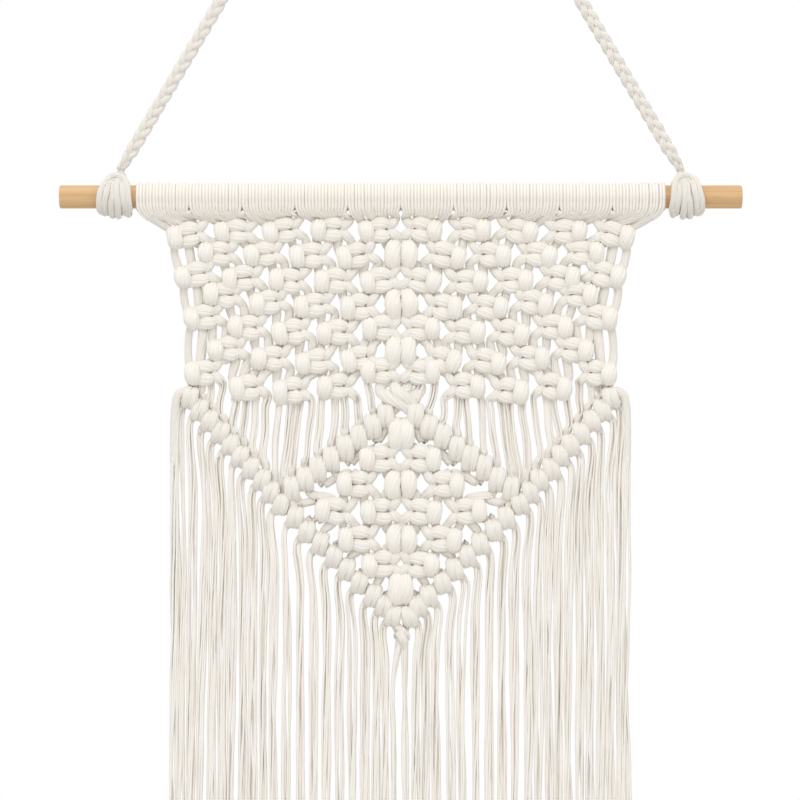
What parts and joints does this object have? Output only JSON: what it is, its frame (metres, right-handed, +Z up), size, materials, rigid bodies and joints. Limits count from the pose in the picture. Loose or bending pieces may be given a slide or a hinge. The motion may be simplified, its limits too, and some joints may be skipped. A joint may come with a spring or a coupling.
{
  "type": "macrame wall hanging with its wooden rod",
  "caption": "Knotted cotton-cord wall hanging on a wooden rod: a net of square knots, a V of half hitches round a knotted diamond, a straight fringe and a plaited hanging cord.",
  "frame": {"origin": "the hanging point: the underside of the plaited cord at its highest place, where a peg or hook bears", "axes": "+Z up; the front faces -Y; +X to the right seen from the front; the hanging is symmetric about X = 0 and the wall is on the +Y side"},
  "size_m": [0.44, 0.0236, 0.8165],
  "materials": {
    "wood": "sanded light beech, matt, fine straight grain along the rod",
    "cotton_cord": "natural off-white twisted cotton strands, soft matt with a slight sheen",
    "plaited_cord": "the same off-white strands in a three-part plait"
  },
  "bodies": {
    "root": {"rod": "wood", "hanger_braid": "plaited_cord", "hanger_knot_left": "plaited_cord", "hanger_knot_right": "plaited_cord", "heading": "cotton_cord", "upper_net": "cotton_cord", "crown_knot": "cotton_cord", "hitch_crown_left": "cotton_cord", "hitch_crown_right": "cotton_cord", "hitch_v_left": "cotton_cord", "hitch_v_right": "cotton_cord", "diamond_net": "cotton_cord", "tip_knot": "cotton_cord", "fringe": "cotton_cord"}
  },
  "joints": []
}
